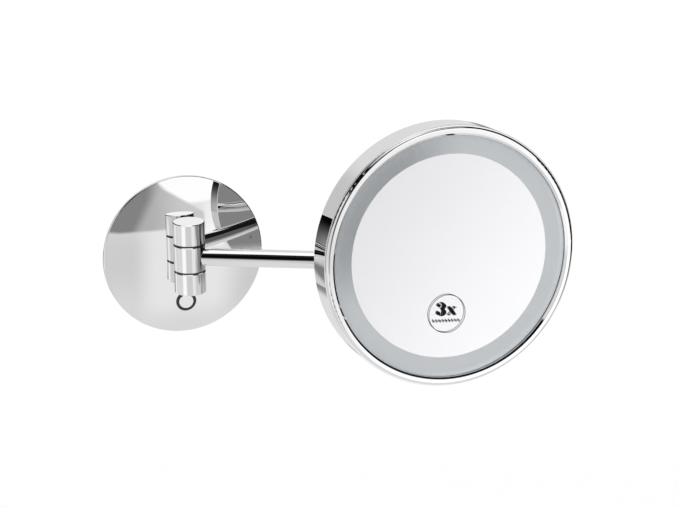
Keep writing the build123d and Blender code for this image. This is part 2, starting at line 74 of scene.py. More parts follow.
CHROME_NODES = (
    "cover_plate", "upper_knuckle", "lower_knuckle", "hinge_plug", "push_button", "arm_knuckle", "arm_tube",
    "arm_end", "swivel_post", "swivel_nut", "head_bracket", "head_shell", "bezel_ring", "back_cover",
)
STEEL_NODES = ("wall_bracket", "knuckle_screws", "hinge_pin", "tilt_pin", "bracket_screws", "back_screws")
DARK_PLASTIC_NODES = ("hinge_washers", "button_ring", "swivel_washers", "tilt_washers", "bezel_gasket")
RUBBER_NODES = ("wall_grommet", "head_grommet")
BUSH_NODES = ("hinge_bushes", "swivel_bushes")
BOARD_NODES = ("switch_board", "driver_board")
COMPONENT_NODES = ("push_switch", "driver_parts")


class Value:
    """A number in a node tree. Arithmetic on it adds Math nodes."""

    def __init__(self, shader, socket):
        self.shader = shader
        self.socket = socket

    def __add__(self, other):
        return self.shader.math("ADD", self, other)

    def __sub__(self, other):
        return self.shader.math("SUBTRACT", self, other)

    def __rsub__(self, other):
        return self.shader.math("SUBTRACT", other, self)

    def __mul__(self, other):
        return self.shader.math("MULTIPLY", self, other)

    def __neg__(self):
        return self.shader.math("MULTIPLY", self, -1.0)

    __radd__ = __add__
    __rmul__ = __mul__


class Shader:
    """A node tree being built, for a material or the world."""

    def __init__(self, owner):
        owner.use_nodes = True
        self.tree = owner.node_tree
        self.tree.nodes.clear()

    def node(self, kind, settings=None, inputs=None):
        """Adds a node, makes its settings, then sets or links its sockets, by name or place."""
        made = self.tree.nodes.new(kind)
        for name, value in (settings or {}).items():
            setattr(made, name, value)
        for name, value in (inputs or {}).items():
            if isinstance(value, Value):
                value = value.socket
            if isinstance(value, bpy.types.NodeSocket):
                self.tree.links.new(value, made.inputs[name])
            else:
                made.inputs[name].default_value = value
        return made

    def value(self, kind, output, settings=None, inputs=None):
        """Adds a node and returns one of its outputs as a number."""
        return Value(self, self.node(kind, settings, inputs).outputs[output])

    def math(self, operation, *terms):
        """Adds a Math node on one, two or three terms."""
        return self.value("ShaderNodeMath", 0, {"operation": operation}, dict(enumerate(terms)))

    def place(self, scale=(1.0, 1.0, 1.0)):
        """Object coordinates, stretched by a scale for each axis."""
        coordinates = self.node("ShaderNodeTexCoord").outputs["Object"]
        return self.node("ShaderNodeMapping", None, {"Vector": coordinates, "Scale": scale}).outputs[0]

    def noise(self, scale, detail=2.0, stretch=(1.0, 1.0, 1.0)):
        """Soft noise between 0 and 1, with its scale in features per metre."""
        inputs = {"Vector": self.place(stretch), "Scale": scale, "Detail": detail}
        return self.value("ShaderNodeTexNoise", "Fac", None, inputs)

    def rise(self, value, start, end):
        """0 below the start, 1 above the end, and smooth between."""
        inputs = {"Value": value, "From Min": start, "From Max": end}
        return self.value("ShaderNodeMapRange", 0, {"interpolation_type": "SMOOTHSTEP"}, inputs)

    def blend(self, factor, first, second):
        """Mixes two colours."""
        inputs = {0: factor, 6: first, 7: second}
        return self.node("ShaderNodeMix", {"data_type": "RGBA"}, inputs).outputs[2]

    def bump(self, height, strength, depth):
        """Normal of a surface with small height differences."""
        inputs = {"Height": height, "Strength": strength, "Distance": depth}
        return self.node("ShaderNodeBump", None, inputs).outputs[0]

    def surface(self, inputs):
        """Ends a material in a Principled BSDF."""
        shader = self.node("ShaderNodeBsdfPrincipled", None, inputs)
        self.node("ShaderNodeOutputMaterial", None, {"Surface": shader.outputs[0]})


def new_material(name):
    """A new material and the shader that fills it."""
    material = bpy.data.materials.new(name)
    return material, Shader(material)


def opaque(color):
    """A colour with full alpha."""
    return (color[0], color[1], color[2], 1.0)


def toned(color, factor):
    """A colour made lighter or darker by a factor."""
    return opaque([channel * factor for channel in color])


def dress(nodes, material):
    """Gives CAD nodes a material."""
    for name in nodes:
        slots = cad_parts[name].data.materials
        slots.clear()
        slots.append(material)


def chrome_plating(colors):
    """Bright plating: a clear mirror with faint clouding, polishing haze and a trace of waviness."""
    material, shader = new_material("chrome_plating")
    cloud = shader.noise(scale=45.0, detail=3.0)
    haze = shader.noise(scale=900.0, detail=4.0)
    wave = shader.noise(scale=120.0, detail=1.0)
    shader.surface({
        "Base Color": shader.blend(cloud, toned(colors.chrome, 0.985), toned(colors.chrome, 1.015)),
        "Metallic": 1.0,
        "Roughness": 0.004 + haze * 0.01,
        "Normal": shader.bump(wave, strength=0.04, depth=0.02 * MILLIMETRE),
    })
    return material


def drawn_steel(colors):
    """Plain steel with fine lines left by rolling and turning."""
    material, shader = new_material("drawn_steel")
    lines = shader.noise(scale=260.0, detail=5.0, stretch=(1.0, 1.0, 18.0))
    patches = shader.noise(scale=90.0, detail=3.0)
    shader.surface({
        "Base Color": shader.blend(patches, toned(colors.steel, 0.88), toned(colors.steel, 1.08)),
        "Metallic": 1.0,
        "Roughness": 0.22 + lines * 0.2,
        "Normal": shader.bump(lines, strength=0.15, depth=0.03 * MILLIMETRE),
    })
    return material


def moulded_plastic(name, color, grain_scale, roughness):
    """Moulded plastic with a fine grain and slightly uneven gloss."""
    material, shader = new_material(name)
    grain = shader.noise(scale=grain_scale, detail=3.0)
    flow = shader.noise(scale=70.0, detail=2.0)
    shader.surface({
        "Base Color": shader.blend(flow, toned(color, 0.86), toned(color, 1.14)),
        "Roughness": roughness + (grain - 0.5) * 0.2,
        "Normal": shader.bump(grain, strength=0.2, depth=0.04 * MILLIMETRE),
    })
    return material


def clear_glass(colors):
    """Float glass with a hint of green and a faint film of dust."""
    material, shader = new_material("clear_glass")
    film = shader.noise(scale=30.0, detail=4.0)
    shader.surface({
        "Base Color": shader.blend(film, opaque(colors.glass), toned(colors.glass, 1.01)),
        "Roughness": film * 0.004,
        "IOR": 1.5,
        "Transmission Weight": 1.0,
    })
    return material


def silver_coating(colors):
    """Silvering behind the glass, with the slight unevenness of a wet coating."""
    material, shader = new_material("silver_coating")
    coat = shader.noise(scale=25.0, detail=2.0)
    shader.surface({
        "Base Color": shader.blend(coat, toned(colors.silver, 0.995), toned(colors.silver, 1.005)),
        "Metallic": 1.0,
        "Roughness": 0.004 + coat * 0.004,
    })
    return material


# Painted glow in the frosted ring: emission that stands in for light on it, with painted shade towards its
# upper left and painted light at its outer rim and at the lip on its lower right. It changes between two
# shares of the way to its shaded side, where 1 is straight at that side, and between two radii in metres.
RING_PAINTED_GLOW = 0.236
RING_PAINTED_SHADE_SIDE = (-0.799, 0.0, 0.602)
RING_PAINTED_SHADE_SPAN = (0.45, 0.95)
RING_PAINTED_SHADE = 0.2
RING_RIM = (0.084, 0.094)
RING_RIM_PAINTED_LIGHT = 0.01
RING_RIM_PAINTED_LIGHT_SHADE_SIDE = 0.07
RING_LIP = (0.0898, 0.0938)
RING_LIP_SPAN = (0.0, 0.8)
RING_LIP_PAINTED_LIGHT = 0.2


def etched_diffuser(colors):
    """Sand-etched light ring: cool grey with a fine speckle.

    It has a painted glow, with painted shade at its upper left and painted light at its rim, most at the
    upper left, and at the lip on its lower right.
    """
    material, shader = new_material("etched_diffuser")
    speckle = shader.noise(scale=2600.0, detail=2.0)
    cloud = shader.noise(scale=18.0, detail=2.0)
    tone = shader.blend(cloud, toned(colors.frosted, 0.97), toned(colors.frosted, 1.03))
    offset = shader.node("ShaderNodeVectorMath", {"operation": "SUBTRACT"}, {
        0: shader.node("ShaderNodeTexCoord").outputs["Object"], 1: GLASS_CENTRE,
    }).outputs[0]
    radius = shader.value("ShaderNodeVectorMath", "Value", {"operation": "LENGTH"}, {0: offset})
    upper_left = shader.value("ShaderNodeVectorMath", "Value", {"operation": "DOT_PRODUCT"}, {
        0: offset, 1: RING_PAINTED_SHADE_SIDE,
    })
    share = shader.math("DIVIDE", upper_left, radius)
    # Painted shade towards the upper left, painted light at the rim and at the lower-right lip.
    painted_shade_share = shader.rise(share, *RING_PAINTED_SHADE_SPAN)
    painted_light_share = shader.rise(-share, *RING_LIP_SPAN)
    painted_rim_light = shader.rise(radius, *RING_RIM) * (RING_RIM_PAINTED_LIGHT + painted_shade_share * RING_RIM_PAINTED_LIGHT_SHADE_SIDE)
    painted_lip_light = shader.rise(radius, *RING_LIP) * painted_light_share * RING_LIP_PAINTED_LIGHT
    painted_glow = RING_PAINTED_GLOW - painted_shade_share * RING_PAINTED_SHADE + painted_rim_light + painted_lip_light
    shader.surface({
        "Base Color": shader.blend(speckle * 0.2, tone, toned(colors.frosted, 1.25)),
        "Roughness": 0.42 + speckle * 0.2,
        "Normal": shader.bump(speckle, strength=0.25, depth=0.05 * MILLIMETRE),
        # The emission paints this glow, shade and rim light into the ring.
        "Emission Color": shader.blend(painted_glow, BLACK, opaque(colors.painted_glow)),
        "Emission Strength": 1.0,
    })
    return material


def circuit_board(name, mask_color, trace_color):
    """Circuit board: solder mask over a net of copper tracks."""
    material, shader = new_material(name)
    inputs = {
        "Vector": shader.place(), "Scale": 220.0, "Mortar Size": 0.08, "Mortar Smooth": 0.2,
        "Brick Width": 1.1, "Row Height": 0.45,
    }
    tracks = shader.value("ShaderNodeTexBrick", "Fac", {"offset": 0.35}, inputs)
    weave = shader.noise(scale=1500.0, detail=2.0)
    mask = shader.blend(weave, toned(mask_color, 0.9), toned(mask_color, 1.1))
    shader.surface({
        "Base Color": shader.blend(tracks, mask, opaque(trace_color)),
        "Roughness": 0.3 + weave * 0.15,
        "Normal": shader.bump(tracks, strength=0.3, depth=0.05 * MILLIMETRE),
    })
    return material


def phosphor_chip(colors):
    """Light-emitting chip: yellow phosphor with a fine grain."""
    material, shader = new_material("phosphor_chip")
    grain = shader.noise(scale=3000.0, detail=2.0)
    shader.surface({
        "Base Color": shader.blend(grain, toned(colors.phosphor, 0.85), toned(colors.phosphor, 1.1)),
        "Roughness": 0.35 + grain * 0.2,
    })
    return material


def printing_ink(colors):
    """Screen-printed ink, slightly uneven in cover."""
    material, shader = new_material("printing_ink")
    cover = shader.noise(scale=4000.0, detail=2.0)
    shader.surface({
        "Base Color": shader.blend(cover, opaque(colors.ink), toned(colors.ink, 1.6)),
        "Roughness": 0.4 + cover * 0.15,
        "Specular IOR Level": 0.1,
    })
    return material


def face_matrix(right, up, roll):
    """Place on the front of the glass: x to the right, y up and z out of it."""
    origin = GLASS_CENTRE + FACE_NORMAL * (GLASS_THICKNESS / 2) + FACE_RIGHT * right + FACE_UP * up
    turn = Matrix((FACE_RIGHT, FACE_UP, FACE_NORMAL)).transposed().to_4x4()
    return Matrix.Translation(origin) @ turn @ Matrix.Rotation(roll, 4, "Z")


def add_piece(name, shape, place, material):
    """Turns a bmesh into a piece that rides on the mirror head."""
    bmesh.ops.remove_doubles(shape, verts=shape.verts, dist=0.001 * MILLIMETRE)
    bmesh.ops.recalc_face_normals(shape, faces=shape.faces)
    bmesh.ops.transform(shape, matrix=place, verts=shape.verts)
    mesh = bpy.data.meshes.new(name)
    shape.to_mesh(mesh)
    shape.free()
    mesh.materials.append(material)
    piece = bpy.data.objects.new(name, mesh)
    bpy.context.scene.collection.objects.link(piece)
    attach(piece, HEAD_BODY)


def thicken(shape, depth):
    """Gives flat faces a thickness along z."""
    grown = bmesh.ops.extrude_face_region(shape, geom=shape.faces[:], use_keep_orig=True)
    top = [item for item in grown["geom"] if isinstance(item, bmesh.types.BMVert)]
    bmesh.ops.translate(shape, vec=(0, 0, depth), verts=top)


class MarkSettings(PropertyGroup):
    """Magnification mark printed on the glass."""

    diameter: FloatProperty(
        name="Diameter", description="Ring across", default=0.0302, unit="LENGTH",
    )
    line: FloatProperty(
        name="Line", description="Width of the ring", default=0.0005, unit="LENGTH",
    )
    right: FloatProperty(
        name="Right", description="Mark's middle, right of the glass's", default=-0.0036, unit="LENGTH",
    )
    up: FloatProperty(
        name="Up", description="Mark's middle, above the glass's", default=-0.0441, unit="LENGTH",
    )
    roll: FloatProperty(
        name="Roll", description="Turn of the mark", default=radians(-4.5), subtype="ANGLE",
    )
    film: FloatProperty(
        name="Film", description="Thickness of the ink", default=0.00004, unit="LENGTH",
    )
    tick_count: IntProperty(
        name="Ticks", description="Strokes under the figure", default=9,
    )
    tick_pitch: FloatProperty(
        name="Tick pitch", description="Stroke to stroke", default=0.0026, unit="LENGTH",
    )
    tick_width: FloatProperty(
        name="Tick width", description="Width of a stroke", default=0.001, unit="LENGTH",
    )
    tick_height: FloatProperty(
        name="Tick height", description="Height of a stroke", default=0.0019, unit="LENGTH",
    )
    tick_drop: FloatProperty(
        name="Tick drop", description="Strokes below the mark's middle", default=0.0057, unit="LENGTH",
    )


class FinishSettings(PropertyGroup):
    """Colours of the finishes."""

    chrome: FloatVectorProperty(
        name="Chrome", description="Plating", default=(0.85, 0.85, 0.855), subtype="COLOR",
    )
    steel: FloatVectorProperty(
        name="Steel", description="Fixings", default=(0.52, 0.52, 0.53), subtype="COLOR",
    )
    dark: FloatVectorProperty(
        name="Dark plastic", description="Washers, button ring, gasket",
        default=(0.016, 0.016, 0.018), subtype="COLOR",
    )
    rubber: FloatVectorProperty(
        name="Rubber", description="Grommets", default=(0.022, 0.022, 0.023), subtype="COLOR",
    )
    bush: FloatVectorProperty(
        name="Bush", description="Bearing plastic", default=(0.62, 0.6, 0.55), subtype="COLOR",
    )
    cable: FloatVectorProperty(
        name="Cable", description="Cable jacket", default=(0.3, 0.3, 0.31), subtype="COLOR",
    )
    glass: FloatVectorProperty(
        name="Glass", description="Tint", default=(0.985, 0.992, 0.988), subtype="COLOR",
    )
    silver: FloatVectorProperty(
        name="Silver", description="Silvering", default=(0.79, 0.778, 0.802), subtype="COLOR",
    )
    frosted: FloatVectorProperty(
        name="Frosted", description="Light ring", default=(0.46, 0.485, 0.51), subtype="COLOR",
    )
    # Colour of the painted glow in the frosted ring, which stands in for light and shade on it.
    painted_glow: FloatVectorProperty(
        name="Painted glow", description="Painted light in the ring", default=(0.97, 1.0, 1.04), subtype="COLOR",
    )
    housing: FloatVectorProperty(
        name="Housing", description="Inner plastic", default=(0.78, 0.78, 0.76), subtype="COLOR",
    )
    board: FloatVectorProperty(
        name="Board", description="Solder mask", default=(0.02, 0.12, 0.05), subtype="COLOR",
    )
    track: FloatVectorProperty(
        name="Tracks", description="Tracks", default=(0.06, 0.24, 0.1), subtype="COLOR",
    )
    led_board: FloatVectorProperty(
        name="Light board", description="Mask", default=(0.8, 0.8, 0.78), subtype="COLOR",
    )
    led_track: FloatVectorProperty(
        name="Light tracks", description="Tracks", default=(0.66, 0.66, 0.63), subtype="COLOR",
    )
    phosphor: FloatVectorProperty(
        name="Phosphor", description="Light chips", default=(0.82, 0.62, 0.12), subtype="COLOR",
    )
    component: FloatVectorProperty(
        name="Components", description="Parts on boards", default=(0.05, 0.05, 0.055), subtype="COLOR",
    )
    ink: FloatVectorProperty(
        name="Ink", description="Printing", default=(0.004, 0.004, 0.005), subtype="COLOR",
    )


class StageSettings(PropertyGroup):
    """Camera, floor and light."""

    azimuth: FloatProperty(
        name="Azimuth", description="Camera's turn about +Z", default=radians(-18.93), subtype="ANGLE",
    )
    elevation: FloatProperty(
        name="Elevation", description="Camera above level", default=radians(18.3), subtype="ANGLE",
    )
    roll: FloatProperty(
        name="Roll", description="Camera's roll", default=radians(0.05), subtype="ANGLE",
    )
    distance: FloatProperty(
        name="Distance", description="Camera to target", default=1.4, unit="LENGTH",
    )
    focal_pixels: FloatProperty(
        name="Focal length", description="In pixels of the picture", default=1688.5,
    )
    target: FloatVectorProperty(
        name="Target", description="Point looked at", default=(0.1315, 0.0, -0.01417), subtype="XYZ",
    )
    floor_height: FloatProperty(
        name="Floor", description="Floor's height", default=-0.9, unit="LENGTH",
    )
    floor_radius: FloatProperty(
        name="Floor radius", description="Floor's reach", default=1.6, unit="LENGTH",
    )
    fill: FloatProperty(
        name="Fill", description="Even light on matt surfaces", default=0.8,
    )
    fill_slope: FloatProperty(
        name="Fill slope", description="Extra light from the key side", default=0.35,
    )
    key_direction: FloatVectorProperty(
        name="Key", description="Side of the key light", default=(-0.5, -0.5, 0.7), subtype="XYZ",
    )
    surround: FloatProperty(
        name="Surround", description="Level seen in metal", default=0.8,
    )


class SHAVINGMIRROR_OT_chrome(Operator):
    """Plates the arm, the hinges, the wall plate and the head"""

    bl_idname = "shaving_mirror.chrome"
    bl_label = "Chrome pieces"

    def execute(self, context):
        dress(CHROME_NODES, chrome_plating(context.scene.mirror_finish))
        return {"FINISHED"}


class SHAVINGMIRROR_OT_fixings(Operator):
    """Finishes the steel bracket, pins and screws"""

    bl_idname = "shaving_mirror.fixings"
    bl_label = "Steel fixings"

    def execute(self, context):
        dress(STEEL_NODES, drawn_steel(context.scene.mirror_finish))
        return {"FINISHED"}


class SHAVINGMIRROR_OT_plastics(Operator):
    """Finishes washers, button ring, gasket, bushes, grommets, cable and inner housing"""

    bl_idname = "shaving_mirror.plastics"
    bl_label = "Plastics and rubber"

    def execute(self, context):
        colors = context.scene.mirror_finish
        dark = moulded_plastic("dark_plastic", colors.dark, grain_scale=1800.0, roughness=0.38)
        rubber = moulded_plastic("grommet_rubber", colors.rubber, grain_scale=900.0, roughness=0.75)
        bush = moulded_plastic("bush_plastic", colors.bush, grain_scale=1200.0, roughness=0.45)
        cable = moulded_plastic("cable_jacket", colors.cable, grain_scale=1500.0, roughness=0.5)
        housing = moulded_plastic("housing_plastic", colors.housing, grain_scale=1500.0, roughness=0.5)
        dress(DARK_PLASTIC_NODES, dark)
        dress(RUBBER_NODES, rubber)
        dress(BUSH_NODES, bush)
        dress(("arm_cable",), cable)
        dress(("mirror_carrier",), housing)
        return {"FINISHED"}


class SHAVINGMIRROR_OT_face(Operator):
    """Finishes the glass, its silvering and the frosted light ring"""

    bl_idname = "shaving_mirror.face"
    bl_label = "Mirror face"

    def execute(self, context):
        colors = context.scene.mirror_finish
        dress(("mirror_glass",), clear_glass(colors))
        dress(("mirror_silvering",), silver_coating(colors))
        dress(("light_diffuser",), etched_diffuser(colors))
        return {"FINISHED"}


class SHAVINGMIRROR_OT_electrics(Operator):
    """Finishes the boards, the light chips and the parts on the boards"""

    bl_idname = "shaving_mirror.electrics"
    bl_label = "Boards and lights"

    def execute(self, context):
        colors = context.scene.mirror_finish
        dress(BOARD_NODES, circuit_board("circuit_board", colors.board, colors.track))
        dress(("led_board",), circuit_board("light_board", colors.led_board, colors.led_track))
        dress(("led_chips",), phosphor_chip(colors))
        case = moulded_plastic("component_case", colors.component, grain_scale=2200.0, roughness=0.4)
        dress(COMPONENT_NODES, case)
        return {"FINISHED"}


# The figure 3x in millimetres, about the middle of the mark. A bowl runs between two angles in degrees.
Bowl = namedtuple("Bowl", "outer outer_radii inner inner_radii start end")
THREE_BOWLS = (
    Bowl((-4.4, 6.0), (3.4, 2.8), (-5.2, 6.0), (1.2, 2.2), 124, -95),
    Bowl((-4.5, 1.2), (3.9, 3.0), (-5.4, 1.2), (1.4, 2.4), 95, -126),
)
THREE_BALLS = (((-6.9, 6.6), 1.4), ((-7.1, 0.5), 1.5))
TIMES_STROKES = (((1.7, 4.8), (6.6, -0.9), 2.5), ((6.4, 4.8), (1.5, -0.9), 0.8))
SERIF_MIDDLES = ((2.0, 4.9), (6.3, 4.8), (1.7, -1.0), (6.5, -1.0))
SERIF_REACH = 1.3
SERIF_LINE = 0.6
MARK_RING_STEPS = 96
BOWL_STEPS = 28
BALL_SEGMENTS = 32


class SHAVINGMIRROR_OT_mark(Operator):
    """Prints the magnification mark on the glass: a ring, a figure and a row of ticks"""

    bl_idname = "shaving_mirror.mark"
    bl_label = "Magnification mark"

    def execute(self, context):
        mark = context.scene.mirror_mark
        ink = printing_ink(context.scene.mirror_finish)
        place = face_matrix(mark.right, mark.up, mark.roll)
        add_piece("mark_ring", self.ring(mark), place, ink)
        add_piece("mark_figure", self.figure(mark), place, ink)
        add_piece("mark_ticks", self.ticks(mark), place, ink)
        return {"FINISHED"}

    def ring(self, mark):
        """Thin flat ring round the mark."""
        shape = bmesh.new()
        radius = mark.diameter / 2
        inner = shape.verts.new((radius - mark.line, 0, 0))
        outer = shape.verts.new((radius, 0, 0))
        edge = shape.edges.new((inner, outer))
        bmesh.ops.spin(
            shape, geom=[inner, outer, edge], cent=(0, 0, 0), axis=(0, 0, 1), angle=radians(360),
            steps=MARK_RING_STEPS, use_merge=True,
        )
        thicken(shape, mark.film)
        return shape

    def figure(self, mark):
        """A fat-faced 3 and x."""
        shape = bmesh.new()
        for bowl in THREE_BOWLS:
            self.bowl(shape, bowl)
        for middle, radius in THREE_BALLS:
            self.ball(shape, middle, radius)
        for first, last, width in TIMES_STROKES:
            self.stroke(shape, first, last, width)
        for right, up in SERIF_MIDDLES:
            self.stroke(shape, (right - SERIF_REACH, up), (right + SERIF_REACH, up), SERIF_LINE)
        bmesh.ops.scale(shape, vec=(MILLIMETRE, MILLIMETRE, MILLIMETRE), verts=shape.verts)
        thicken(shape, mark.film)
        return shape

    def bowl(self, shape, bowl):
        """Crescent between the arcs of two ellipses."""
        outer = self.arc(shape, bowl.outer, bowl.outer_radii, bowl.start, bowl.end)
        inner = self.arc(shape, bowl.inner, bowl.inner_radii, bowl.start, bowl.end)
        bmesh.ops.bridge_loops(shape, edges=outer + inner)

    def arc(self, shape, middle, radii, start, end):
        """Edges of an ellipse's arc, spun on a circle of radius 1 and then stretched."""
        others = set(shape.edges)
        first = shape.verts.new((cos(radians(start)), sin(radians(start)), 0))
        bmesh.ops.spin(
            shape, geom=[first], cent=(0, 0, 0), axis=(0, 0, 1), angle=radians(end - start), steps=BOWL_STEPS,
        )
        edges = [edge for edge in shape.edges if edge not in others]
        place = Matrix.Translation((*middle, 0)) @ Matrix.Diagonal((*radii, 1.0, 1.0))
        bmesh.ops.transform(shape, matrix=place, verts=list({vert for edge in edges for vert in edge.verts}))
        return edges

    def ball(self, shape, middle, radius):
        """Round end of a bowl."""
        place = Matrix.Translation((*middle, 0))
        bmesh.ops.create_circle(shape, cap_ends=True, segments=BALL_SEGMENTS, radius=radius, matrix=place)

    def stroke(self, shape, start, end, width):
        """Straight bar between two points."""
        along = Vector((end[0] - start[0], end[1] - start[1], 0))
        middle = Matrix.Translation(((start[0] + end[0]) / 2, (start[1] + end[1]) / 2, 0))
        turn = along.to_track_quat("X", "Z").to_matrix().to_4x4()
        size = Matrix.Diagonal((along.length / 2, width / 2, 1.0, 1.0))
        bmesh.ops.create_grid(shape, x_segments=1, y_segments=1, size=1.0, matrix=middle @ turn @ size)

    def ticks(self, mark):
        """Row of short strokes under the figure."""
        shape = bmesh.new()
        for place in range(mark.tick_count):
            right = (place - (mark.tick_count - 1) / 2) * mark.tick_pitch
            low = (right, -mark.tick_drop - mark.tick_height / 2)
            high = (right, -mark.tick_drop + mark.tick_height / 2)
            self.stroke(shape, low, high, mark.tick_width)
        thicken(shape, mark.film)
        return shape


# A part of the surround as metal sees it: compass directions from -Y towards +X and heights, in degrees, with
# the width of its soft edge and its level, where 1 is white. Later screens lie over earlier ones.
Screen = namedtuple("Screen", "left right low high soft level")
SCREENS = (
    Screen(-36, 4, -75, -12, 7, 0.71),
    Screen(-36, 4, -75, -26, 14, 0.82),
    Screen(-30, -7.5, -39, -22, 4, 0.26),
    Screen(4, 45, -75, -5, 7, 0.92),
    Screen(26, 60, -75, -12, 10, 0.7),
    Screen(4, 45, -75, -34, 8, 0.76),
    Screen(-68, -41, -34, -9, 6, 1.12),
    Screen(7, 60, -5.8, 60, 1.2, 1.16),
    Screen(-200, 200, 68, 100, 6, 1.2),
    Screen(125, 200, -25, -5, 3, 0.3),
    Screen(-200, -147, -16, 14, 6, 0.63),
    Screen(-200, -150, -25.3, -14, 2, 0.27),
    Screen(100, 158, 44, 84, 4, 0.15),
    Screen(60, 112, -52, -34, 8, 0.42),
    Screen(95, 140, -38, -19, 8, 0.3),
    Screen(66, 92, -30, -17, 10, 0.35),
    Screen(-146, -38, 31, 56, 2, 0.003),
    Screen(-130, -112, 2, 60, 3, 0.03),
    Screen(-44, 66, 45, 68, 3, 0.02),
)
FACE_LIGHT = Screen(18, 34, -16, -6, 1.5, 1.0)
FRONT_SHADE = Screen(-42, 7.5, -11.5, 47, 0.6, 0.003)
BACK_SHADE = Screen(43, 148, -18.9, 60, 4, 0.01)
BACK_GLOWS = (Screen(103, 118, -14, 22, 5, 0.14), Screen(82, 125, -19, -17.2, 1, 0.33))

# A gain in level between two places across the surround.
Step = namedtuple("Step", "start end gain")
FACE_STEP = Step(24.5, 36.0, 0.28)
FACE_SLANT = 0.75
FRONT_LEFT_STEP = Step(-15, -2, 0.26)
FRONT_SLANT_STEP = Step(0.0, 3.4, 0.24)
FRONT_RIGHT_STEP = Step(4, 14, 0.18)
FRONT_SLANT = 0.5

# Edges of the unlit parts, in degrees. The front's sill is faded on the left and crisp on the right, and its
# right edge falls steeply to a kink and then gently. The back's left edge slants, and its sill rises from one
# direction on.
FRONT_LEFT_SOFT = 2
FRONT_TOP_SOFT = 3
FRONT_FADE = (-4, 22)
FRONT_CRISP = (-24, -8)
FRONT_STEEP = 3.3
FRONT_GENTLE = 0.675
FRONT_KINK_DROP = 1.2
FRONT_END = (17.5, 18.4)
BACK_SLANT = 0.3
BACK_SILL_RISE = 0.15
BACK_SILL_START = 118
SILL_SOFT = 0.5

FLOOR_PAINT = (0.9, 0.9, 0.9, 1.0)
FLOOR_GLOW = 0.6
FLOOR_GLOW_SHARE = 0.6
FLOOR_FADE = 0.6
FLOOR_SEGMENTS = 96
Lamp = namedtuple("Lamp", "name location size power")
LAMPS = (
    Lamp("key_lamp", (-0.9, -1.3, 1.3), 1.0, 11.0),
    Lamp("fill_lamp", (1.3, -1.0, 0.3), 0.9, 6.0),
    Lamp("back_lamp", (0.2, 1.2, 0.9), 0.9, 5.0),
)


